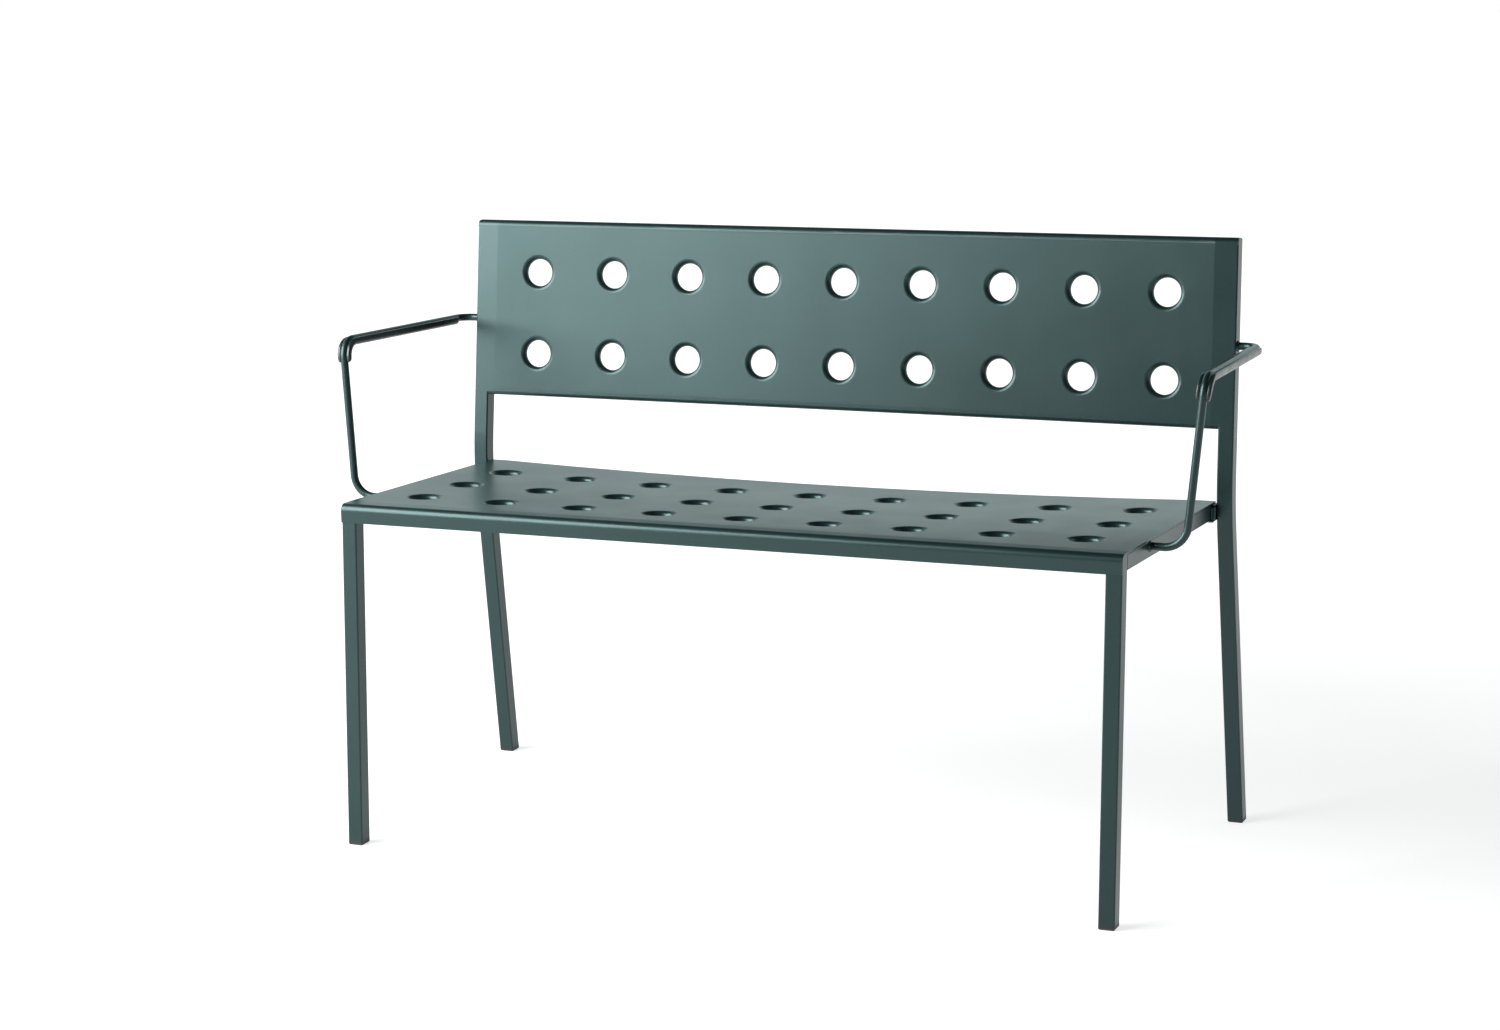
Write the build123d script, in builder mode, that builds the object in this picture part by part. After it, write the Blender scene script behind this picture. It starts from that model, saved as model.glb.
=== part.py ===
from build123d import *
import math
import os

# Garden bench: a perforated seat and backrest on a welded frame of square tube, with two armrests.
# Millimetres. X runs along the bench, the sitter faces -Y, Z is up.
# The origin is on the floor under the middle of the overall box.

# --- stock ---
TUBE = 20.8                  # outside of the square tube, with its powder coat
TUBE_CORNER = 2.0            # outside corner radius of the tube
WALL = 1.5                   # tube wall
SHEET = 2.0                  # seat and backrest sheet
ROD = 10.0                   # armrest rod diameter

# --- seat ---
SEAT_HEIGHT = 450.0          # top of the seat along its front
SEAT_WIDTH = 1051.4
SEAT_DEPTH = 410.0           # front edge to rear edge
SEAT_SLOPE = 1.6             # degrees, down towards the back
SEAT_DISH = 9.0              # how far the middle of the rear edge hangs below its ends
SEAT_LEVEL_FRONT = 26.0      # strip along the front that stays flat
SEAT_LEAST_SAG = 0.01        # sag where that strip ends
SEAT_FLAT_END = 21.5         # strip along each end that stays flat, over the side rails
SEAT_FRONT_BEND = 9.0        # outside radius of the rolled front edge
SEAT_FRONT_FLANGE = 24.0     # height of the rolled front edge
SEAT_FIRST_ROW = 90.0        # front edge to the first row of holes
FRONT_RAIL_GAP = 5.2         # the front rail stands clear of the rolled edge's inside radius

# --- holes, the same in the seat and the backrest ---
HOLE_PITCH = 113.2
HOLE_COLUMNS = 9
SEAT_ROWS = 3
BACK_ROWS = 2
HOLE_RADIUS = 18.7           # clear radius
HOLE_ROLL = 6.3              # outside radius of the rolled rim
HOLE_DEPTH = 7.5             # face of the sheet to the end of the rolled rim
HOLE_CUTTER = 4 * SHEET      # length of the cylinder that opens the sheet for a rim

# --- frame ---
FRAME_HALF_WIDTH = 525.2     # outer face of the side rails, and of the front legs at the top
FRONT_LEG_RAKE = 3.2         # degrees, feet forward
FRONT_LEG_TUCK = 0.3         # degrees, feet inward
FRONT_LEG_SETBACK = 0.3      # face of the rolled front edge to the leg's front face below it
REAR_FOOT_HALF_WIDTH = 553.4  # outer face of the rear legs at the floor
REAR_LEG_TILT = 0.48         # degrees, tops inward
REAR_BEND_HEIGHT = 437.0     # where the two straight runs of the rear leg would meet
REAR_BEND_DEPTH = 398.0      # front edge of the seat to the front face of the rear leg there
REAR_BEND_RADIUS = 350.0
REAR_LEG_RAKE = 7.05         # degrees, feet back
BACK_RECLINE = 6.16          # degrees

# --- backrest ---
BACK_BOTTOM = 532.8          # height of the lower edge
BACK_HEIGHT = 245.2          # lower edge to upper edge along the slope
BACK_FIRST_ROW = 59.7        # lower edge to the first row of holes
BACK_DISH_BOTTOM = 8.5       # how far the middle of the lower edge lies back
BACK_DISH_TOP = 17.0         # and of the upper edge
BACK_FLAT_END = 31.0         # flat strip at each end, the tube and a little of the sheet
BACK_TOP_BEND = 8.0          # outside radius of the upper fold
BACK_BOTTOM_BEND = 5.0       # outside radius of the lower fold
BACK_TOP_FOLD = TUBE         # depth of the upper fold, to the back of the uprights
BACK_BOTTOM_FOLD = 14.0      # depth of the lower fold
BACK_CORNER = 3.5            # rounding of the upper corners, through the fold and the upright
BACK_CAP = 10.0              # height of the strip that runs out over the uprights

# --- armrests ---
ARM_WELD_DEPTH = 115.0       # front edge of the seat to the rod's end on the side rail
ARM_LOW = (569.8, 112.0, 438.6)     # lower corner of the rod: X, depth, height
ARM_HIGH = (588.8, 127.0, 644.3)    # upper front corner
ARM_BACK = (575.5, 430.0, 638.2)    # upper rear corner, level with the rod's end on the upright
ARM_LOW_RADIUS = 30.0
ARM_HIGH_RADIUS = 24.0
ARM_BACK_RADIUS = 20.0
PAD_WIDTH = 17.5
PAD_HEIGHT = 9.5
PAD_SHOULDER = 5.0           # radius of the pad's upper edges
PAD_OVER_ROD = 2.5           # pad above the top of the rod
PAD_NOSE = 29.0              # how far the pad runs down the front of the rod
PAD_REAR_GAP = 24.0          # rear end of the pad to the rod's rear corner
PAD_END_ROUND = 2.5          # rounding of the pad's two ends

# --- glides ---
GLIDE_HEIGHT = 6.0
GLIDE_CHAMFER = 1.4
GLIDE_PLUG = 14.0            # length inside the tube
GLIDE_FIT = 0.1              # gap round the plug

SIDES = {"left": -1, "right": 1}
LOFT_SHARES = (0, 1 / 3, 2 / 3, 1)   # where the sections of a dished sheet lie along it

# --- positions worked out from the above ---
seat_slope = math.radians(SEAT_SLOPE)
lean = math.radians(BACK_RECLINE)
front_rake = math.radians(FRONT_LEG_RAKE)
rear_rake = math.radians(REAR_LEG_RAKE)
rear_tilt = math.radians(REAR_LEG_TILT)
flange_bottom = SEAT_HEIGHT - SEAT_FRONT_FLANGE
front_reach = (flange_bottom - GLIDE_CHAMFER) * math.tan(front_rake) - FRONT_LEG_SETBACK
rear_reach = REAR_BEND_DEPTH + (REAR_BEND_HEIGHT - GLIDE_CHAMFER) * math.tan(rear_rake)
seat_front = (front_reach - rear_reach - TUBE / math.cos(rear_rake)) / 2
seat_level = SEAT_HEIGHT - SHEET
bore = TUBE - 2 * WALL
bore_corner = TUBE_CORNER - WALL
rim_radius = HOLE_RADIUS + HOLE_ROLL


def seat_top(depth):
    """Height of the seat's top at its ends, at a distance behind its front edge."""
    return SEAT_HEIGHT - max(depth - SEAT_LEVEL_FRONT, 0) * math.tan(seat_slope)


def seat_sag(depth):
    """How far the middle of the seat hangs below its ends at that distance."""
    ahead = 1 - (depth - SEAT_LEVEL_FRONT) / (SEAT_DEPTH - SEAT_LEVEL_FRONT)
    return SEAT_DISH * (1 - ahead**2)


def back_sag(height):
    """How far the middle of the backrest lies behind its ends, at a height above its lower edge."""
    return BACK_DISH_BOTTOM + (BACK_DISH_TOP - BACK_DISH_BOTTOM) * height / BACK_HEIGHT


def back_plane(height):
    """Plane across the backrest at a height above its lower edge. X is the bench's X, Y runs back."""
    z = BACK_BOTTOM + height * math.cos(lean)
    y = seat_front + REAR_BEND_DEPTH + (z - REAR_BEND_HEIGHT) * math.tan(lean)
    return Plane(origin=(0, y, z), x_dir=(1, 0, 0), z_dir=(0, math.sin(lean), math.cos(lean)))


def rear_outer(z):
    """X of the right rear leg's outer face at a height above the floor."""
    return REAR_FOOT_HALF_WIDTH - z * math.tan(rear_tilt)


back_top = back_plane(BACK_HEIGHT)


# --- square tube ---
def square_tube(side, corner, plane, length):
    """Solid bar with rounded corners along a plane's normal."""
    with BuildPart() as bar:
        with BuildSketch(plane):
            RectangleRounded(side, side, corner)
        extrude(amount=length)
    return bar.part


# --- front legs ---
def front_leg_plane(side):
    """Section plane at the foot of a front leg. Its X points to the right, its Y to the back."""
    tuck = side * math.radians(FRONT_LEG_TUCK)
    up = Vector(math.tan(tuck), math.tan(front_rake), 1).normalized()
    across = Vector(math.cos(tuck), 0, -math.sin(tuck))
    top_y = seat_front + FRONT_LEG_SETBACK + TUBE / 2
    top_centre = Vector(side * (FRAME_HALF_WIDTH - TUBE / 2), top_y, flange_bottom)
    return Plane(origin=top_centre - up * (flange_bottom / up.Z), x_dir=across, z_dir=up)


def front_leg_bar(side, width, corner):
    """Bar that runs on past both ends of the leg, which are cut afterwards."""
    return square_tube(width, corner, front_leg_plane(side).offset(-TUBE / 2), SEAT_HEIGHT + TUBE / 2)


# --- rear legs: one bent tube each, leg below and upright above ---
def rear_leg_bar(side, width, corner):
    half = TUBE / 2
    foot_y = REAR_BEND_HEIGHT * math.tan(rear_rake)
    over = 1.1               # both runs go on past the ends of the leg, which are cut afterwards
    rise = BACK_BOTTOM + BACK_HEIGHT - REAR_BEND_HEIGHT
    centre_y = seat_front + REAR_BEND_DEPTH + half / math.cos((rear_rake + lean) / 2)
    with BuildPart() as bar:
        with BuildLine(Plane.YZ) as path:
            FilletPolyline(
                (centre_y + over * foot_y, REAR_BEND_HEIGHT * (1 - over)),
                (centre_y, REAR_BEND_HEIGHT),
                (centre_y + over * rise * math.tan(lean), REAR_BEND_HEIGHT + over * rise),
                radius=REAR_BEND_RADIUS,
            )
        with BuildSketch(Plane(origin=path.line @ 0, x_dir=(1, 0, 0), z_dir=path.line % 0)):
            RectangleRounded(width, width, corner)
        sweep(path=path.line)
    foot = Location((side * (REAR_FOOT_HALF_WIDTH - half), 0, 0), (0, -side * REAR_LEG_TILT, 0))
    return foot * bar.part


rear_bars = {side: rear_leg_bar(side, TUBE, TUBE_CORNER) for side in SIDES.values()}


def rear_inner_plane(side):
    """Plane of a rear leg's inner face, its normal pointing to the middle of the bench."""
    normal = Vector(-side * math.cos(rear_tilt), 0, -math.sin(rear_tilt))
    middle = Vector(side * (REAR_FOOT_HALF_WIDTH - TUBE / 2), 0, 0)
    return Plane(origin=middle + normal * TUBE / 2, z_dir=normal)


# --- rolled rim of a hole, its face at the origin and its axis along Z ---
def rim_arc(outer_radius):
    """Quarter circle from the flat of the sheet into the hole, round the centre of the roll."""
    turn = outer_radius * math.sqrt(0.5)
    ThreePointArc(
        (rim_radius, outer_radius - HOLE_ROLL),
        (rim_radius - turn, turn - HOLE_ROLL),
        (rim_radius - outer_radius, -HOLE_ROLL),
    )


with BuildPart() as hole_rim:
    with BuildSketch(Plane.XZ):
        with BuildLine():
            rim_arc(HOLE_ROLL)
            rim_arc(HOLE_ROLL - SHEET)
            Line((rim_radius, 0), (rim_radius, -SHEET))
            Polyline(
                (HOLE_RADIUS, -HOLE_ROLL),
                (HOLE_RADIUS, -HOLE_DEPTH),
                (HOLE_RADIUS + SHEET, -HOLE_DEPTH),
                (HOLE_RADIUS + SHEET, -HOLE_ROLL),
            )
        make_face()
    revolve(axis=Axis.Z)


def hole_columns():
    """X of each column of holes."""
    return [(column - (HOLE_COLUMNS - 1) / 2) * HOLE_PITCH for column in range(HOLE_COLUMNS)]


# --- seat panel: dished sheet, front edge rolled down, three rows of rolled holes ---
dish_half = SEAT_WIDTH / 2 - SEAT_FLAT_END


def seat_section(level, sag):
    """Outline of the sheet cut across the bench: flat ends over the rails and a dished middle."""
    half = SEAT_WIDTH / 2
    under = level - SHEET
    Line((-half, level), (-dish_half, level))
    ThreePointArc((-dish_half, level), (0, level - sag), (dish_half, level))
    Polyline((dish_half, level), (half, level), (half, under), (dish_half, under))
    ThreePointArc((dish_half, under), (0, under - sag), (-dish_half, under))
    Polyline((-dish_half, under), (-half, under), (-half, level))


def seat_hole_places():
    length = SEAT_DEPTH - SEAT_LEVEL_FRONT
    for row in range(SEAT_ROWS):
        depth = SEAT_FIRST_ROW + row * HOLE_PITCH
        sag = seat_sag(depth)
        sag_growth = 2 * SEAT_DISH / length * (1 - (depth - SEAT_LEVEL_FRONT) / length)
        for x in hole_columns():
            across = 1 - (x / dish_half) ** 2
            centre = (x, seat_front + depth, seat_top(depth) - sag * across)
            slope_x = 2 * sag * x / dish_half**2
            slope_y = -math.tan(seat_slope) - sag_growth * across
            yield Location(Plane(origin=centre, x_dir=(1, 0, slope_x), z_dir=(-slope_x, -slope_y, 1)))


with BuildPart() as seat_panel:
    for share in LOFT_SHARES:
        depth = SEAT_LEVEL_FRONT + share * (SEAT_DEPTH - SEAT_LEVEL_FRONT)
        with BuildSketch(Plane.XZ.offset(-(seat_front + depth))):
            with BuildLine():
                seat_section(seat_top(depth), max(seat_sag(depth), SEAT_LEAST_SAG))
            make_face()
    loft()
    with BuildSketch(Plane.YZ):
        with BuildLine():
            FilletPolyline(
                (seat_front + SEAT_LEVEL_FRONT, SEAT_HEIGHT),
                (seat_front, SEAT_HEIGHT),
                (seat_front, flange_bottom),
                radius=SEAT_FRONT_BEND,
            )
            offset(amount=SHEET, side=Side.LEFT)
        make_face()
    extrude(amount=SEAT_WIDTH / 2, both=True)
    with Locations(*seat_hole_places()):
        Cylinder(rim_radius, HOLE_CUTTER, mode=Mode.SUBTRACT)
        add(hole_rim.part)

# --- backrest panel: dished sheet between the uprights, folded back along the top and the bottom ---
def back_kink(height):
    """X where the flat end of the backrest meets its dished middle."""
    return rear_outer(back_plane(height).origin.Z) - BACK_FLAT_END


def back_hole_places():
    for row in range(BACK_ROWS):
        height = BACK_FIRST_ROW + row * HOLE_PITCH
        kink = back_kink(height)
        for x in hole_columns():
            across = 1 - (x / kink) ** 2
            slope_x = -2 * back_sag(height) * x / kink**2
            slope_up = (BACK_DISH_TOP - BACK_DISH_BOTTOM) / BACK_HEIGHT * across
            front = Plane(
                origin=(x, back_sag(height) * across, 0), x_dir=(1, slope_x, 0), z_dir=(slope_x, -1, slope_up)
            )
            yield back_plane(height) * front


def back_sheet():
    """The backrest sheet between its folds, running just past the inner faces of the uprights."""
    low = BACK_CAP
    high = BACK_HEIGHT - BACK_CAP
    with BuildPart() as sheet:
        for share in LOFT_SHARES:
            height = low + share * (high - low)
            half = rear_outer(back_plane(height).origin.Z) - TUBE + TUBE_CORNER
            kink = back_kink(height)
            with BuildSketch(back_plane(height)):
                with BuildLine():
                    Line((-half, 0), (-kink, 0))
                    ThreePointArc((-kink, 0), (0, back_sag(height)), (kink, 0))
                    Line((kink, 0), (half, 0))
                    offset(amount=SHEET, side=Side.LEFT)
                make_face()
        loft()
    return sheet.part


def back_fold(height, half, depth, bend, upward):
    """Folded edge of the backrest, following its dish. Upward is 1 for the upper edge, -1 for the lower."""
    plane = back_plane(height)
    seam = height - upward * BACK_CAP    # where the fold meets the sheet, with the same dish
    kink = back_kink(seam)
    with BuildPart() as fold:
        with BuildLine(plane) as path:
            Line((-half, 0), (-kink, 0))
            ThreePointArc((-kink, 0), (0, back_sag(seam)), (kink, 0))
            Line((kink, 0), (half, 0))
        with BuildSketch(Plane(origin=path.line @ 0, x_dir=plane.y_dir, z_dir=(1, 0, 0))):
            with BuildLine():
                FilletPolyline((0, -upward * BACK_CAP), (0, 0), (depth, 0), radius=bend)
                offset(amount=SHEET, side=Side.RIGHT if upward > 0 else Side.LEFT)
            make_face()
        sweep(path=path.line, transition=Transition.RIGHT)
    return fold.part


top_fold = back_fold(BACK_HEIGHT, rear_outer(back_top.origin.Z), BACK_TOP_FOLD, BACK_TOP_BEND, 1)
bottom_half = rear_outer(back_plane(BACK_CAP).origin.Z) - TUBE + TUBE_CORNER
bottom_fold = back_fold(0, bottom_half, BACK_BOTTOM_FOLD, BACK_BOTTOM_BEND, -1)

# what is cut off the uprights' ends: all above the inside of the upper fold, and in front of its strip
past_tube = 2 * TUBE
with BuildPart() as cap_space:
    with BuildSketch(Plane(origin=back_top.origin, x_dir=back_top.y_dir, z_dir=(1, 0, 0))):
        with BuildLine():
            FilletPolyline(
                (SHEET, -BACK_CAP), (SHEET, -SHEET), (past_tube, -SHEET), radius=BACK_TOP_BEND - SHEET
            )
            Polyline(
                (past_tube, -SHEET), (past_tube, past_tube), (-past_tube, past_tube),
                (-past_tube, -BACK_CAP), (SHEET, -BACK_CAP),
            )
        make_face()
    extrude(amount=REAR_FOOT_HALF_WIDTH + TUBE, both=True)

# what rounds the upper corners, cut from the fold and the uprights alike
corner_origin = Vector(rear_outer(back_top.origin.Z), back_top.origin.Y, back_top.origin.Z)
with BuildPart() as corner_space:
    with BuildSketch(Plane(origin=corner_origin, x_dir=(1, 0, 0), z_dir=-back_top.y_dir)):
        with Locations((-BACK_CORNER, -BACK_CORNER)):
            Rectangle(2 * BACK_CORNER, 2 * BACK_CORNER, align=(Align.MIN, Align.MIN))
            Circle(BACK_CORNER, mode=Mode.SUBTRACT)
    extrude(amount=past_tube, both=True)
    mirror(about=Plane.YZ)

with BuildPart() as backrest_panel:
    add(back_sheet())
    add(bottom_fold)
    for bar in rear_bars.values():
        add(bar, mode=Mode.SUBTRACT)
    add(top_fold)
    add(corner_space.part, mode=Mode.SUBTRACT)
    with Locations(*back_hole_places()):
        Cylinder(rim_radius, HOLE_CUTTER, mode=Mode.SUBTRACT)
        add(hole_rim.part)

# --- rear legs ---
def cut_rear_leg(side):
    """One bent tube, open at the floor end, its upper end fitted under the backrest's fold."""
    with BuildPart() as leg:
        add(rear_bars[side])
        add(rear_leg_bar(side, bore, bore_corner), mode=Mode.SUBTRACT)
        split(bisect_by=Plane.XY.offset(GLIDE_HEIGHT), keep=Keep.TOP)
        add(cap_space.part, mode=Mode.SUBTRACT)
        add(corner_space.part, mode=Mode.SUBTRACT)
    return leg.part


rear_legs = {name: cut_rear_leg(side) for name, side in SIDES.items()}

# --- front legs ---
def cut_front_leg(side):
    """Tube from its glide up to the seat sheet, with the seat's front edge let into it."""
    with BuildPart() as leg:
        add(front_leg_bar(side, TUBE, TUBE_CORNER))
        add(front_leg_bar(side, bore, bore_corner), mode=Mode.SUBTRACT)
        split(bisect_by=Plane.XY.offset(GLIDE_HEIGHT), keep=Keep.TOP)
        split(bisect_by=Plane.XY.offset(seat_level), keep=Keep.BOTTOM)
        with Locations((0, seat_front + SHEET, seat_level)):
            Box(
                2 * REAR_FOOT_HALF_WIDTH, TUBE, SEAT_FRONT_FLANGE - SHEET,
                align=(Align.CENTER, Align.MAX, Align.MAX), mode=Mode.SUBTRACT,
            )
        add(seat_panel.part, mode=Mode.SUBTRACT)
    return leg.solids().sort_by(SortBy.VOLUME)[-1]   # without the sliver in front of the rolled edge


front_legs = {name: cut_front_leg(side) for name, side in SIDES.items()}

# --- rails under the seat ---
rail_x = FRAME_HALF_WIDTH - TUBE / 2
rail_drop = TUBE / math.cos(seat_slope)


def side_rail_bar(side, width, corner):
    """Bar along the end of the seat, from its front edge to its rear edge."""
    level = seat_level + SEAT_LEVEL_FRONT * math.tan(seat_slope)   # the slope run out to the front edge
    section = Plane(
        origin=(side * rail_x, seat_front, level - rail_drop / 2), x_dir=(1, 0, 0),
        z_dir=(0, math.cos(seat_slope), -math.sin(seat_slope)),
    )
    return square_tube(width, corner, section, SEAT_DEPTH)


side_rail_bars = {side: side_rail_bar(side, TUBE, TUBE_CORNER) for side in SIDES.values()}


def cut_side_rail(side):
    """Tube along the end of the seat, from the back of the front leg to the rear rail."""
    leg = front_leg_plane(side)
    leg_back = Plane(origin=leg.origin + leg.y_dir * TUBE / 2, z_dir=leg.y_dir)
    with BuildPart() as rail:
        add(side_rail_bars[side])
        add(side_rail_bar(side, bore, bore_corner), mode=Mode.SUBTRACT)
        split(bisect_by=leg_back, keep=Keep.TOP)
        split(bisect_by=Plane.XZ.offset(TUBE - seat_front - SEAT_DEPTH), keep=Keep.TOP)
        add(seat_panel.part, mode=Mode.SUBTRACT)
    return rail.solids().sort_by(SortBy.VOLUME)[-1]   # the cut under the seat can leave an empty film


side_rails = {name: cut_side_rail(side) for name, side in SIDES.items()}

# front rail: tube between the front legs, hidden behind the seat's rolled front edge
front_rail_y = seat_front + SHEET + FRONT_RAIL_GAP + TUBE / 2
with BuildPart() as seat_front_rail:
    with BuildSketch(Plane.YZ):
        with Locations((front_rail_y, seat_level - TUBE / 2)):
            RectangleRounded(TUBE, TUBE, TUBE_CORNER)
            RectangleRounded(bore, bore, bore_corner, mode=Mode.SUBTRACT)
    extrude(amount=FRAME_HALF_WIDTH - TUBE, both=True)

# rear rail: tube between the uprights, bent down to the dish of the seat
with BuildPart() as seat_rear_rail:
    rail_level = seat_top(SEAT_DEPTH) - SHEET - TUBE / 2
    with BuildLine(Plane.XZ.offset(-(seat_front + SEAT_DEPTH - TUBE / 2))) as rear_rail_path:
        Line((-REAR_FOOT_HALF_WIDTH, rail_level), (-dish_half, rail_level))
        ThreePointArc((-dish_half, rail_level), (0, rail_level - SEAT_DISH), (dish_half, rail_level))
        Line((dish_half, rail_level), (REAR_FOOT_HALF_WIDTH, rail_level))
    with BuildSketch(Plane(origin=rear_rail_path.line @ 0, x_dir=(0, 1, 0), z_dir=(1, 0, 0))):
        RectangleRounded(TUBE, TUBE, TUBE_CORNER)
        RectangleRounded(bore, bore, bore_corner, mode=Mode.SUBTRACT)
    sweep(path=rear_rail_path.line, transition=Transition.RIGHT)
    for side in SIDES.values():
        split(bisect_by=rear_inner_plane(side), keep=Keep.TOP)
    add(seat_panel.part, mode=Mode.SUBTRACT)

# --- armrests ---
def arm_point(side, corner):
    x, depth, height = corner
    return Vector(side * x, seat_front + depth, height)


def make_arm_rod(side):
    """One bent rod, from the side rail's outer face up, back and in to the upright's outer face."""
    low = arm_point(side, ARM_LOW)
    high = arm_point(side, ARM_HIGH)
    back = arm_point(side, ARM_BACK)
    with BuildPart() as rod:
        with BuildLine() as path:
            FilletPolyline(
                Vector(side * rail_x, seat_front + ARM_WELD_DEPTH, low.Z), low, high, back,
                Vector(side * (REAR_FOOT_HALF_WIDTH - TUBE), back.Y, back.Z),
                radius=[ARM_LOW_RADIUS, ARM_HIGH_RADIUS, ARM_BACK_RADIUS],
            )
        with BuildSketch(Plane(origin=path.line @ 0, z_dir=path.line % 0)):
            Circle(ROD / 2)
        sweep(path=path.line)
        add(rear_bars[side], mode=Mode.SUBTRACT)
        add(side_rail_bars[side], mode=Mode.SUBTRACT)
    return rod.part


arm_rods = {name: make_arm_rod(side) for name, side in SIDES.items()}


def make_arm_pad(name, side):
    """Grip along the top of the rod, turned down round its front bend."""
    high = arm_point(side, ARM_HIGH)
    back = arm_point(side, ARM_BACK)
    low = arm_point(side, ARM_LOW)
    rear_end = back + (high - back).normalized() * PAD_REAR_GAP
    nose_end = high + (low - high).normalized() * PAD_NOSE
    top = ROD / 2 + PAD_OVER_ROD
    with BuildPart() as pad:
        with BuildLine() as path:
            FilletPolyline(rear_end, high, nose_end, radius=ARM_HIGH_RADIUS)
        along = path.line % 0
        with BuildSketch(Plane(origin=path.line @ 0, x_dir=along.cross(Vector(0, 0, 1)), z_dir=along)):
            with BuildLine():
                FilletPolyline(
                    (-PAD_WIDTH / 2, 0), (-PAD_WIDTH / 2, top), (PAD_WIDTH / 2, top), (PAD_WIDTH / 2, 0),
                    radius=PAD_SHOULDER,
                )
                Polyline(
                    (PAD_WIDTH / 2, 0), (PAD_WIDTH / 2, top - PAD_HEIGHT),
                    (-PAD_WIDTH / 2, top - PAD_HEIGHT), (-PAD_WIDTH / 2, 0),
                )
            make_face()
        sweep(path=path.line)
        for end in (path.line @ 0, path.line @ 1):
            fillet(pad.faces().sort_by_distance(end)[0].edges(), PAD_END_ROUND)
        add(arm_rods[name], mode=Mode.SUBTRACT)
    return pad.part


arm_pads = {name: make_arm_pad(name, side) for name, side in SIDES.items()}

# --- glides ---
def make_glide(bar, plug_bar):
    """Plastic foot: a head with the outline of the tube and a plug that fills the tube above it."""
    with BuildPart() as glide:
        add(bar)
        split(bisect_by=Plane.XY, keep=Keep.TOP)
        split(bisect_by=Plane.XY.offset(GLIDE_HEIGHT), keep=Keep.BOTTOM)
        sole = glide.faces().sort_by(Axis.Z)[0]
        chamfer(sole.edges(), GLIDE_CHAMFER)
        head = glide.part
    with BuildPart() as plug:
        add(plug_bar)
        split(bisect_by=Plane.XY.offset(GLIDE_HEIGHT), keep=Keep.TOP)
        split(bisect_by=Plane.XY.offset(GLIDE_HEIGHT + GLIDE_PLUG), keep=Keep.BOTTOM)
        add(head)
    return plug.part


plug_width = bore - 2 * GLIDE_FIT
glides = {}
for name, side in SIDES.items():
    glides["front_foot_glide_" + name] = make_glide(
        front_leg_bar(side, TUBE, TUBE_CORNER), front_leg_bar(side, plug_width, bore_corner)
    )
    glides["rear_foot_glide_" + name] = make_glide(
        rear_bars[side], rear_leg_bar(side, plug_width, bore_corner)
    )

# --- files, one for each piece ---
pieces = {
    "seat_panel": seat_panel.part,
    "backrest_panel": backrest_panel.part,
    "seat_front_rail": seat_front_rail.part,
    "seat_rear_rail": seat_rear_rail.part,
}
for name in SIDES:
    pieces["front_leg_" + name] = front_legs[name]
    pieces["rear_leg_" + name] = rear_legs[name]
    pieces["side_rail_" + name] = side_rails[name]
    pieces["armrest_rod_" + name] = arm_rods[name]
    pieces["armrest_pad_" + name] = arm_pads[name]
pieces.update(glides)

os.makedirs("parts", exist_ok=True)
for name, piece in pieces.items():
    piece.label = name
    export_step(piece, "parts/" + name + ".step")
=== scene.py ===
"""Studio scene of the perforated garden bench: powder-coated metal, weld beads, soft grips, plastic glides."""

import math

import bmesh
import bpy
from mathutils import Matrix, Vector, noise


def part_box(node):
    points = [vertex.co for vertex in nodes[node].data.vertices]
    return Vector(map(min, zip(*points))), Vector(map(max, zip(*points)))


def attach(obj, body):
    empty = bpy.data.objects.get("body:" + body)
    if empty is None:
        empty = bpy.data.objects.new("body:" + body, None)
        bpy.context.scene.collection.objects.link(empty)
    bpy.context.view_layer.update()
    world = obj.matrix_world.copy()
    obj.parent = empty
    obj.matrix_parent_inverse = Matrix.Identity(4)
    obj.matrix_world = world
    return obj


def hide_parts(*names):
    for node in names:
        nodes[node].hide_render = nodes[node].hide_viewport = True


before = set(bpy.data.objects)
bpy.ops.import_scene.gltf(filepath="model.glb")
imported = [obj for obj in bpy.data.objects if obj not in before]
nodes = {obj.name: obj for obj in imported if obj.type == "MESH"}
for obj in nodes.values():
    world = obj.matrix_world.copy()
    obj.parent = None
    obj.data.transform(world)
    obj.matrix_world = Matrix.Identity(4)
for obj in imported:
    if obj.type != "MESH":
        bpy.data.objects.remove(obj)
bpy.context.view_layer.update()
scene = bpy.context.scene

MM = 0.001
SIDES = {"left": -1, "right": 1}

# --- camera, placed from the middle of the seat's front edge on the floor ---
CAMERA_PLACE = Vector((1.545, -3.3635, 1.190))
CAMERA_AZIMUTH = math.radians(22.8)      # towards the bench's right
CAMERA_PITCH = math.radians(10.37)       # looking down
CAMERA_ROLL = math.radians(-1.03)
CAMERA_LENS = 73.73                      # mm, on a 36 mm sensor
CAMERA_SHIFT = (-0.0389, -0.0258)

# --- powder coat, linear colours ---
COAT_DARK = (0.006, 0.0145, 0.0145)
COAT_LIGHT = (0.008, 0.019, 0.019)
COAT_GLOSS = (0.7, 1.0, 1.0, 1)          # tint of its reflections
COAT_ROUGHNESS = (0.315, 0.345)
COAT_SPECK = (0.8, 1.25)                 # darkest and lightest grain, as shares of the two colours
COAT_SPECK_SHARE = 0.5
PEEL = 0.00005                           # height of the orange peel, and of the grips' grain
SHEET_WAVE = 0.0001                      # height of the waves in the two sheets

# --- plastics ---
GRIP_ROUGHNESS = (0.27, 0.36)
GLIDE_BLACK = (0.012, 0.012, 0.013)
GLIDE_SCUFFED = (0.06, 0.06, 0.058)
GLIDE_ROUGHNESS = (0.42, 0.6)
GLIDE_TEXTURE = 0.0001                   # height of the spark-eroded texture
SCUFF_HEIGHT = 2.5 * MM                  # scuffs end this far above the floor

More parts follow.
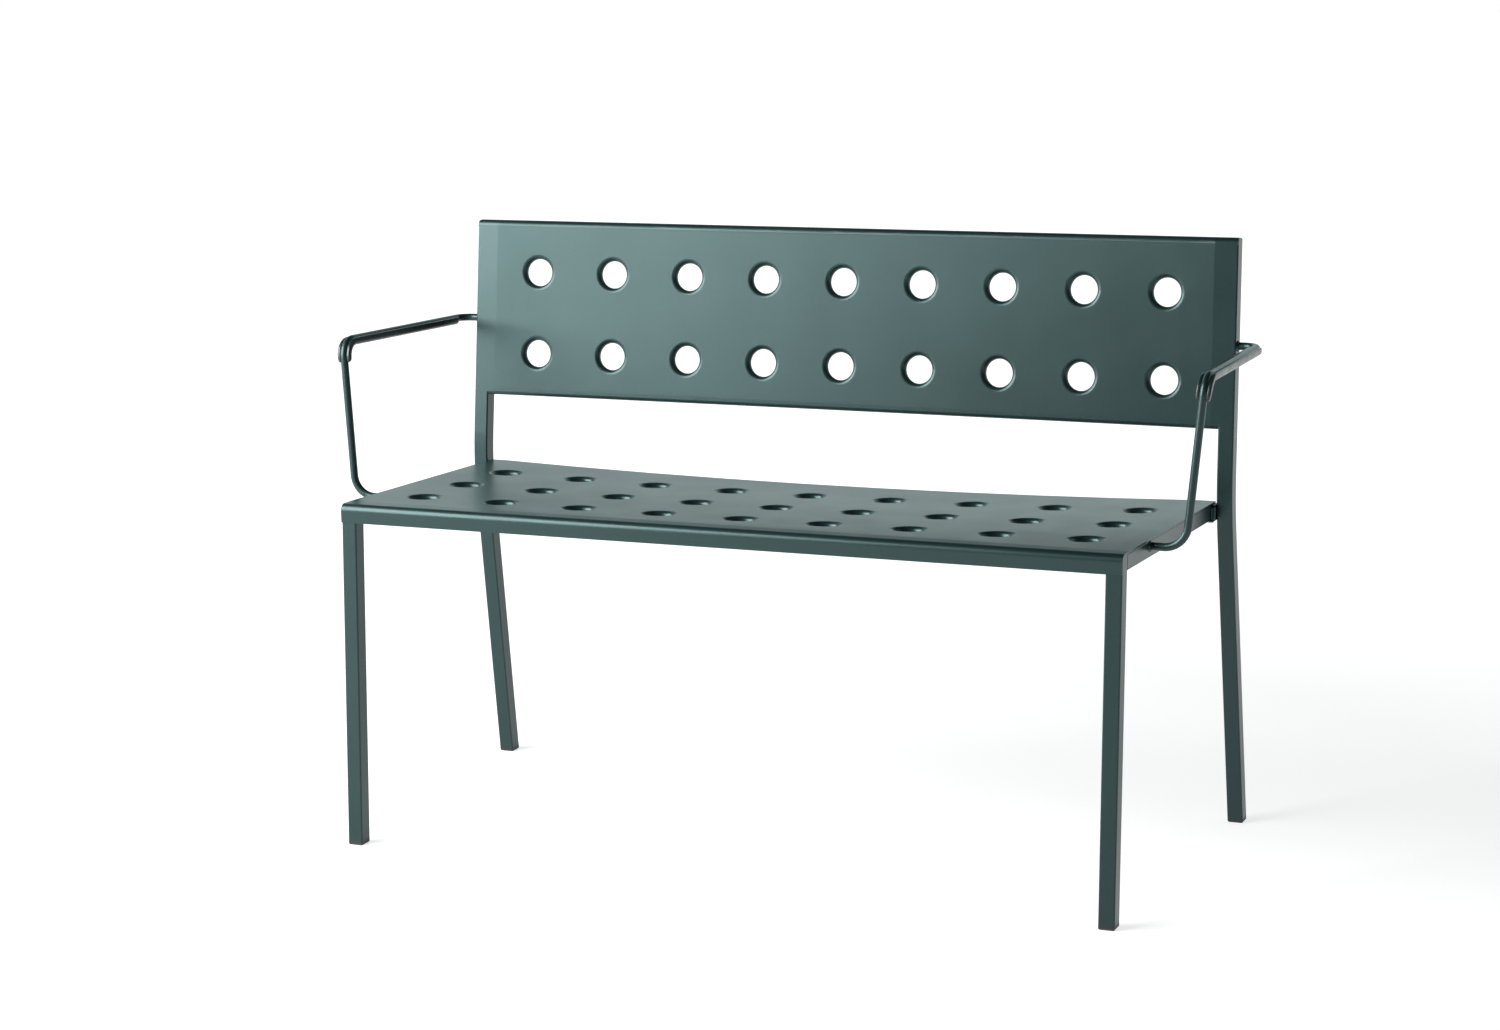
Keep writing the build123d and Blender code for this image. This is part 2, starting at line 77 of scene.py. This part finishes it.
# --- noise: cycles per metre, and the part of its range that is stretched over a result ---
MOTTLE_SCALE = 9
GRAIN_SCALE = 650
GLOSS_SCALE = 14
PEEL_SCALE = 900
WAVE_SCALE = 5
GRIP_GRAIN_SCALE = 1100
GRIP_GLOSS_SCALE = 60
GRIP_BUMP_SCALE = 1400
SCUFF_SCALE = 500
GLIDE_BUMP_SCALE = 1500
WIDE = (0.3, 0.7)
NARROW = (0.35, 0.65)
PATCHY = (0.4, 0.65)

# --- weld beads ---
BEAD_SIDES = 12
BEAD_STEP = 0.45 * MM                    # ring to ring
BEAD_FEWEST_RINGS = 6
BEAD_RIPPLE = 2.2 * MM                   # length of one ripple
BEAD_VALLEY = 0.93                       # radius between two ripples, as a share of the bead's
BEAD_RIPPLE_RISE = 0.12                  # what a ripple's crest adds
BEAD_UNEVEN = 0.08                       # what chance adds or takes
BEAD_UNEVEN_SCALE = 400                  # cycles per metre
BEAD_TIP = 0.02                          # radius left at the very ends
ROD_BEAD_RADIUS = 1.7 * MM
ROD_BEAD_LIFT = 0.4 * MM                 # rod's surface to the middle of the bead
ROD_END_REACH = 0.25 * MM                # points this near a rod's end belong to its end face
CIRCLE_POINTS = 48
FRAME_BEAD_RADIUS = 2.2 * MM
RAIL_END_REACH = 2 * MM                  # points this near a rail's end belong to its end face
BEAD_INSET = 1.5 * MM                    # from the rail's outer and inner faces, and its upper and lower edges
CORNER_STAND_OUT = 0.6                   # share of it by which the bead at the rail's outer face stands out
UPRIGHT_BEAD_INSET = 1.0 * MM

# --- grips ---
GRIP_VOXEL = 0.6 * MM
GRIP_SOFTENING = 8                       # smoothing passes
GRIP_SWELL = 0.5 * MM                    # makes up for what the smoothing takes off
NOSE_END = 3 * MM                        # the nose's lowest part, which gives its middle
NOSE_TAPER = 11 * MM                     # height over which the grip's nose narrows
NOSE_NARROW = 0.68                       # width left at the very end

# --- light: one softbox, and glowing parts of the room ---
KEY_PLACE = (-2.15, -1.55, 1.7)
KEY_SIZE = (2.7, 2.0)
KEY_POWER = 232
KEY_AIM = (-0.3, 0.2, 0.6)
KEY_COLOUR = (0.97, 1.0, 1.0)
GLOWS = (                                # degrees: heading, half width, lowest, highest; then strength
    (180, 75, -5, 35, 1.0),              # wall behind the bench, heading 0 being in front of it
    (90, 40, -5, 25, 0.2),               # room to its left
)
GLOW_SIDE_EDGE = 12                      # degrees to either side over which a glow fades
GLOW_LEVEL_EDGE = 4                      # and above and below
GLOW_COLOUR = (0.84, 1.0, 1.0)

# --- floor ---
FLOOR_SIZE = 60
FLOOR_ROUGHNESS = 0.9
FLOOR_COLOUR = (0.42, 0.41, 0.41, 1)     # makes up for the lights' tint
FLOOR_GLOW = (0.74, 1.1)                 # under the bench and far away
FLOOR_GLOW_REACH = (1.0, 3.0)            # metres from the bench's middle, where it starts and stops rising

BLACK = (0.0, 0.0, 0.0)
WHITE = (1.0, 1.0, 1.0)

seat_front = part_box("seat_panel")[0].y


def add_camera():
    """Camera looking down at the bench from its front right, with a slight roll."""
    camera = bpy.data.objects.new("camera", bpy.data.cameras.new("camera"))
    scene.collection.objects.link(camera)
    sight = Vector((
        -math.sin(CAMERA_AZIMUTH) * math.cos(CAMERA_PITCH),
        math.cos(CAMERA_AZIMUTH) * math.cos(CAMERA_PITCH),
        -math.sin(CAMERA_PITCH),
    ))
    right = Vector((math.cos(CAMERA_AZIMUTH), math.sin(CAMERA_AZIMUTH), 0))
    up = right.cross(sight)
    turned_right = math.cos(CAMERA_ROLL) * right + math.sin(CAMERA_ROLL) * up
    turned_up = math.cos(CAMERA_ROLL) * up - math.sin(CAMERA_ROLL) * right
    turn = Matrix((turned_right, turned_up, -sight)).transposed()
    camera.matrix_world = Matrix.Translation(CAMERA_PLACE + Vector((0, seat_front, 0))) @ turn.to_4x4()
    camera.data.lens = CAMERA_LENS
    camera.data.shift_x, camera.data.shift_y = CAMERA_SHIFT
    scene.camera = camera


# --- node helpers ---
def new_material(name):
    """An empty node material and its Principled shader."""
    material = bpy.data.materials.new(name)
    material.use_nodes = True
    return material, material.node_tree, material.node_tree.nodes["Principled BSDF"]


def noise_node(tree, scale, detail=2.0):
    """Noise fixed to the bench, its scale in cycles per metre."""
    place = tree.nodes.new("ShaderNodeTexCoord")
    texture = tree.nodes.new("ShaderNodeTexNoise")
    texture.inputs["Scale"].default_value = scale
    texture.inputs["Detail"].default_value = detail
    tree.links.new(place.outputs["Object"], texture.inputs["Vector"])
    return texture.outputs["Fac"]


def spread(tree, value, source, result):
    """Maps a value from one range to another, clamped."""
    node = tree.nodes.new("ShaderNodeMapRange")
    node.inputs["From Min"].default_value, node.inputs["From Max"].default_value = source
    node.inputs["To Min"].default_value, node.inputs["To Max"].default_value = result
    tree.links.new(value, node.inputs["Value"])
    return node.outputs["Result"]


def blend_colours(tree, factor, first, second):
    """Mix of two colours, each a fixed colour or an output."""
    node = tree.nodes.new("ShaderNodeMix")
    node.data_type = "RGBA"
    tree.links.new(factor, node.inputs["Factor"])
    for socket, colour in ((node.inputs[6], first), (node.inputs[7], second)):
        if isinstance(colour, tuple):
            socket.default_value = (*colour, 1)
        else:
            tree.links.new(colour, socket)
    return node.outputs[2]


def bump(tree, height, distance, below=None):
    """Bump of a height given in metres, on top of another one."""
    node = tree.nodes.new("ShaderNodeBump")
    node.inputs["Distance"].default_value = distance
    tree.links.new(height, node.inputs["Height"])
    if below is not None:
        tree.links.new(below, node.inputs["Normal"])
    return node.outputs["Normal"]


def multiply(tree, first, second):
    """Product of two outputs, or of an output and a number."""
    node = tree.nodes.new("ShaderNodeMath")
    node.operation = "MULTIPLY"
    tree.links.new(first, node.inputs[0])
    if isinstance(second, (int, float)):
        node.inputs[1].default_value = second
    else:
        tree.links.new(second, node.inputs[1])
    return node.outputs[0]


# --- materials ---
def powder_coat(name, wave=0.0):
    """Satin powder coat: fine orange peel, faint mottling, and the long shallow waves of rolled sheet."""
    material, tree, shader = new_material(name)
    mottle = spread(tree, noise_node(tree, MOTTLE_SCALE, detail=3), WIDE, (0, 1))
    grain = spread(tree, noise_node(tree, GRAIN_SCALE), NARROW, (0, 1))
    base = blend_colours(tree, mottle, COAT_DARK, COAT_LIGHT)
    speck_dark = tuple(COAT_SPECK[0] * c for c in COAT_DARK)
    speck_light = tuple(COAT_SPECK[1] * c for c in COAT_LIGHT)
    speck = blend_colours(tree, grain, speck_dark, speck_light)
    colour = blend_colours(tree, multiply(tree, grain, COAT_SPECK_SHARE), base, speck)
    tree.links.new(colour, shader.inputs["Base Color"])
    roughness = spread(tree, noise_node(tree, GLOSS_SCALE), WIDE, COAT_ROUGHNESS)
    tree.links.new(roughness, shader.inputs["Roughness"])
    shader.inputs["Specular Tint"].default_value = COAT_GLOSS
    normal = bump(tree, noise_node(tree, PEEL_SCALE), PEEL)
    if wave:
        normal = bump(tree, noise_node(tree, WAVE_SCALE, detail=1), wave, below=normal)
    tree.links.new(normal, shader.inputs["Normal"])
    return material


def grip_plastic(name):
    """Moulded grip in the coat's colour, with its own finer grain."""
    material, tree, shader = new_material(name)
    grain = spread(tree, noise_node(tree, GRIP_GRAIN_SCALE), WIDE, (0, 1))
    tree.links.new(blend_colours(tree, grain, COAT_DARK, COAT_LIGHT), shader.inputs["Base Color"])
    roughness = spread(tree, noise_node(tree, GRIP_GLOSS_SCALE), WIDE, GRIP_ROUGHNESS)
    tree.links.new(roughness, shader.inputs["Roughness"])
    tree.links.new(bump(tree, noise_node(tree, GRIP_BUMP_SCALE), PEEL), shader.inputs["Normal"])
    return material


def glide_plastic(name):
    """Black moulded plastic with a fine spark-eroded texture, scuffed grey towards the floor."""
    material, tree, shader = new_material(name)
    place = tree.nodes.new("ShaderNodeTexCoord")
    axes = tree.nodes.new("ShaderNodeSeparateXYZ")
    tree.links.new(place.outputs["Object"], axes.inputs[0])
    low = spread(tree, axes.outputs["Z"], (0, SCUFF_HEIGHT), (1, 0))
    scuff = multiply(tree, low, spread(tree, noise_node(tree, SCUFF_SCALE, detail=3), PATCHY, (0, 1)))
    tree.links.new(blend_colours(tree, scuff, GLIDE_BLACK, GLIDE_SCUFFED), shader.inputs["Base Color"])
    roughness = spread(tree, noise_node(tree, PEEL_SCALE), WIDE, GLIDE_ROUGHNESS)
    tree.links.new(roughness, shader.inputs["Roughness"])
    tree.links.new(bump(tree, noise_node(tree, GLIDE_BUMP_SCALE), GLIDE_TEXTURE), shader.inputs["Normal"])
    return material


# --- pieces ---
def dress(mesh, material):
    """Gives a mesh one material and smooth shading."""
    mesh.materials.clear()
    mesh.materials.append(material)
    mesh.polygons.foreach_set("use_smooth", [True] * len(mesh.polygons))


def add_piece(name, mesh, material, slot, *replaced):
    """A piece on the root body, with a material. The slot argument is not used."""
    piece = bpy.data.objects.new(name, mesh)
    scene.collection.objects.link(piece)
    dress(mesh, material)
    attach(piece, "root")
    if replaced:
        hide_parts(*replaced)
    return piece


def bead_mesh(name, points, radius, closed=False):
    """Weld bead: a rounded strip along a path, with the scale-like ripples of the weld pool."""
    path = [Vector(p) for p in points]
    if closed:
        path.append(path[0].copy())
    lengths = [(b - a).length for a, b in zip(path, path[1:])]
    total = sum(lengths)
    count = max(BEAD_FEWEST_RINGS, round(total / BEAD_STEP))
    rings = []
    for index in range(count if closed else count + 1):
        travelled = total * index / count
        left = travelled
        leg = 0
        while leg < len(lengths) - 1 and left > lengths[leg]:
            left -= lengths[leg]
            leg += 1
        along = (path[leg + 1] - path[leg]).normalized()
        centre = path[leg] + along * left
        ripple = (travelled / BEAD_RIPPLE) % 1.0
        uneven = BEAD_UNEVEN * noise.noise(centre * BEAD_UNEVEN_SCALE)
        size = radius * (BEAD_VALLEY + BEAD_RIPPLE_RISE * math.sqrt(1 - ripple) + uneven)
        if not closed:
            end = min(1.0, min(travelled, total - travelled) / radius)
            size *= math.sqrt(end * (2 - end))
        rings.append((centre, along, max(size, BEAD_TIP * radius)))
    mesh = bpy.data.meshes.new(name)
    form = bmesh.new()
    loops = []
    previous = None
    for centre, along, size in rings:
        side = along.orthogonal().normalized() if previous is None else previous - along * previous.dot(along)
        side.normalize()
        previous = side
        other = along.cross(side)
        loops.append([
            form.verts.new(centre + size * (math.cos(turn) * side + math.sin(turn) * other))
            for turn in (math.tau * k / BEAD_SIDES for k in range(BEAD_SIDES))
        ])
    for first, second in zip(loops, loops[1:] + loops[:1] if closed else loops[1:]):
        for k in range(BEAD_SIDES):
            after = (k + 1) % BEAD_SIDES
            form.faces.new((first[k], first[after], second[after], second[k]))
    if not closed:
        form.faces.new(reversed(loops[0]))
        form.faces.new(loops[-1])
    bmesh.ops.recalc_face_normals(form, faces=form.faces)
    form.to_mesh(mesh)
    form.free()
    return mesh


def node_points(name):
    """Copies of a CAD node's points."""
    return [v.co.copy() for v in nodes[name].data.vertices]


def circle_round(points, lift, normal):
    """Points of a circle round a rod's end face, lifted off the face's own outermost points."""
    centre = sum(points, Vector()) / len(points)
    radius = max((p - centre).length for p in points) + lift
    side = normal.orthogonal().normalized()
    other = normal.cross(side)
    return [
        centre + radius * (math.cos(turn) * side + math.sin(turn) * other)
        for turn in (math.tau * k / CIRCLE_POINTS for k in range(CIRCLE_POINTS))
    ]


def add_rod_welds(coat):
    """Ring beads where each armrest rod meets its side rail and its upright."""
    for name, side in SIDES.items():
        points = node_points("armrest_rod_" + name)
        middle = (min(p.z for p in points) + max(p.z for p in points)) / 2
        for place, group in (
            ("rail", [p for p in points if p.z < middle]),
            ("upright", [p for p in points if p.z > middle]),
        ):
            inner = min(abs(p.x) for p in group)
            end_face = [p for p in group if abs(p.x) < inner + ROD_END_REACH]
            path = circle_round(end_face, ROD_BEAD_LIFT, Vector((side, 0, 0)))
            mesh = bead_mesh("bead", path, ROD_BEAD_RADIUS, closed=True)
            add_piece(f"weld_rod_{place}_{name}", mesh, coat, "frame")


def add_frame_welds(coat):
    """Straight beads where the rails meet the legs."""
    front_rail_low, front_rail_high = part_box("seat_front_rail")
    rear_rail_low, rear_rail_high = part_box("seat_rear_rail")
    for name, side in SIDES.items():
        rail_low, rail_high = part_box("side_rail_" + name)
        outer = side * max(abs(rail_low.x), abs(rail_high.x))
        inner = side * min(abs(rail_low.x), abs(rail_high.x))
        upright_inner = side * max(abs(rear_rail_low.x), abs(rear_rail_high.x))
        rail_points = node_points("side_rail_" + name)
        front_face = [p for p in rail_points if p.y < rail_low.y + RAIL_END_REACH]
        back_face = [p for p in rail_points if p.y > rail_high.y - RAIL_END_REACH]
        front_low = min(front_face, key=lambda p: p.z)
        back_low = min(back_face, key=lambda p: p.z)
        back_high = max(back_face, key=lambda p: p.z)
        inset = BEAD_INSET * side
        beads = {
            "leg_rail_under": [
                (outer - inset, front_low.y, front_low.z), (inner + inset, front_low.y, front_low.z)
            ],
            "rail_back_outer": [
                (outer + CORNER_STAND_OUT * inset, rail_high.y, back_high.z - BEAD_INSET),
                (outer + CORNER_STAND_OUT * inset, rail_high.y, back_low.z + BEAD_INSET),
            ],
            "rail_back_under": [
                (upright_inner, rail_high.y, back_low.z), (inner, rail_high.y, back_low.z)
            ],
            "upright_back": [
                (upright_inner, rail_high.y, back_high.z - UPRIGHT_BEAD_INSET),
                (upright_inner, rail_high.y, back_low.z + UPRIGHT_BEAD_INSET),
            ],
            "front_rail_under": [
                (inner, front_rail_low.y, front_rail_low.z), (inner, front_rail_high.y, front_rail_low.z)
            ],
        }
        for place, points in beads.items():
            add_piece(f"weld_{place}_{name}", bead_mesh("bead", points, FRAME_BEAD_RADIUS), coat, "frame")


def add_grips(plastic):
    """Softened grips: the CAD pads remeshed, smoothed, swollen a little, and their noses drawn in."""
    for name in SIDES:
        source = nodes["armrest_pad_" + name]
        piece = add_piece("grip_" + name, source.data.copy(), plastic, "armrest_pad", source.name)
        remesh = piece.modifiers.new("remesh", "REMESH")
        remesh.mode = "VOXEL"
        remesh.voxel_size = GRIP_VOXEL
        soften = piece.modifiers.new("soften", "SMOOTH")
        soften.iterations = GRIP_SOFTENING
        depsgraph = bpy.context.evaluated_depsgraph_get()
        shaped = bpy.data.meshes.new_from_object(piece.evaluated_get(depsgraph))
        piece.modifiers.clear()
        for vertex, outward in zip(shaped.vertices, [v.normal.copy() for v in shaped.vertices]):
            vertex.co += outward * GRIP_SWELL
        low = min(v.co.z for v in shaped.vertices)
        end = [v.co for v in shaped.vertices if v.co.z < low + NOSE_END]
        centre = (min(p.x for p in end) + max(p.x for p in end)) / 2
        for vertex in shaped.vertices:
            share = (vertex.co.z - low) / NOSE_TAPER
            if share < 1:
                narrow = NOSE_NARROW + (1 - NOSE_NARROW) * math.sqrt(max(0.0, 1 - (1 - share) ** 2))
                vertex.co.x = centre + (vertex.co.x - centre) * narrow
        piece.data = shaped
        dress(shaped, plastic)


# --- stage ---
def add_floor():
    """White floor that glows a little, so that it stays white under the bench as well."""
    bpy.ops.mesh.primitive_plane_add(size=FLOOR_SIZE)
    floor = bpy.context.object
    floor.name = "floor"
    material, tree, shader = new_material("floor")
    shader.inputs["Base Color"].default_value = FLOOR_COLOUR
    shader.inputs["Roughness"].default_value = FLOOR_ROUGHNESS
    shader.inputs["Emission Color"].default_value = (*WHITE, 1)
    place = tree.nodes.new("ShaderNodeTexCoord")
    distance = tree.nodes.new("ShaderNodeVectorMath")
    distance.operation = "LENGTH"
    tree.links.new(place.outputs["Object"], distance.inputs[0])
    glow_here = spread(tree, distance.outputs["Value"], FLOOR_GLOW_REACH, FLOOR_GLOW)
    tree.links.new(glow_here, shader.inputs["Emission Strength"])
    floor.data.materials.append(material)


def add_key():
    """The main softbox, turned to face its aim."""
    light = bpy.data.lights.new("key", "AREA")
    light.shape = "RECTANGLE"
    light.size, light.size_y = KEY_SIZE
    light.energy = KEY_POWER
    light.color = KEY_COLOUR
    softbox = bpy.data.objects.new("key", light)
    scene.collection.objects.link(softbox)
    softbox.location = KEY_PLACE
    softbox.rotation_euler = (Vector(KEY_AIM) - Vector(KEY_PLACE)).to_track_quat("-Z", "Y").to_euler()


def glow(tree, towards, half_width, low, high, colour):
    """Light from one part of the room: a heading, its half width, and a band of heights, all soft-edged."""
    place = tree.nodes.new("ShaderNodeTexCoord")
    aim = tree.nodes.new("ShaderNodeVectorMath")
    aim.operation = "DOT_PRODUCT"
    heading = math.radians(towards)
    aim.inputs[1].default_value = (-math.sin(heading), -math.cos(heading), 0)
    flat = tree.nodes.new("ShaderNodeVectorMath")
    flat.operation = "MULTIPLY"
    flat.inputs[1].default_value = (1, 1, 0)
    unit = tree.nodes.new("ShaderNodeVectorMath")
    unit.operation = "NORMALIZE"
    tree.links.new(place.outputs["Generated"], flat.inputs[0])
    tree.links.new(flat.outputs[0], unit.inputs[0])
    tree.links.new(unit.outputs[0], aim.inputs[0])
    edge = [math.cos(math.radians(half_width + fade)) for fade in (GLOW_SIDE_EDGE, -GLOW_SIDE_EDGE)]
    across = spread(tree, aim.outputs["Value"], edge, (0, 1))
    axes = tree.nodes.new("ShaderNodeSeparateXYZ")
    tree.links.new(place.outputs["Generated"], axes.inputs[0])
    low_edge, high_edge = (
        [math.sin(math.radians(level + fade)) for fade in (-GLOW_LEVEL_EDGE, GLOW_LEVEL_EDGE)]
        for level in (low, high)
    )
    above = spread(tree, axes.outputs["Z"], low_edge, (0, 1))
    below = spread(tree, axes.outputs["Z"], high_edge, (1, 0))
    share = multiply(tree, multiply(tree, across, above), below)
    return blend_colours(tree, share, BLACK, colour)


def add_lights():
    """Key from the front left and the room's glows. The camera alone sees the room as white."""
    add_key()
    world = bpy.data.worlds.new("studio")
    scene.world = world
    world.use_nodes = True
    tree = world.node_tree
    background = tree.nodes["Background"]
    light = None
    for towards, half_width, low, high, strength in GLOWS:
        part = glow(tree, towards, half_width, low, high, tuple(strength * c for c in GLOW_COLOUR))
        if light is None:
            light = part
            continue
        total = tree.nodes.new("ShaderNodeVectorMath")
        tree.links.new(light, total.inputs[0])
        tree.links.new(part, total.inputs[1])
        light = total.outputs[0]
    rays = tree.nodes.new("ShaderNodeLightPath")
    seen = blend_colours(tree, rays.outputs["Is Camera Ray"], light, WHITE)
    tree.links.new(seen, background.inputs["Color"])
    scene.view_settings.view_transform = "Standard"


def build():
    """The stage, the materials on the CAD's own pieces, and the pieces that only the visual model has."""
    add_camera()
    add_floor()
    add_lights()
    coat = powder_coat("powder_coat_frame")
    sheet_coat = powder_coat("powder_coat_sheet", wave=SHEET_WAVE)
    grip = grip_plastic("grip_plastic")
    black = glide_plastic("glide_plastic")
    special = {"glide": black, "pad": grip, "panel": sheet_coat}
    for name, node in nodes.items():
        material = next((special[word] for word in special if word in name), coat)
        node.data.materials.clear()
        node.data.materials.append(material)
    add_rod_welds(coat)
    add_frame_welds(coat)
    add_grips(grip)


build()
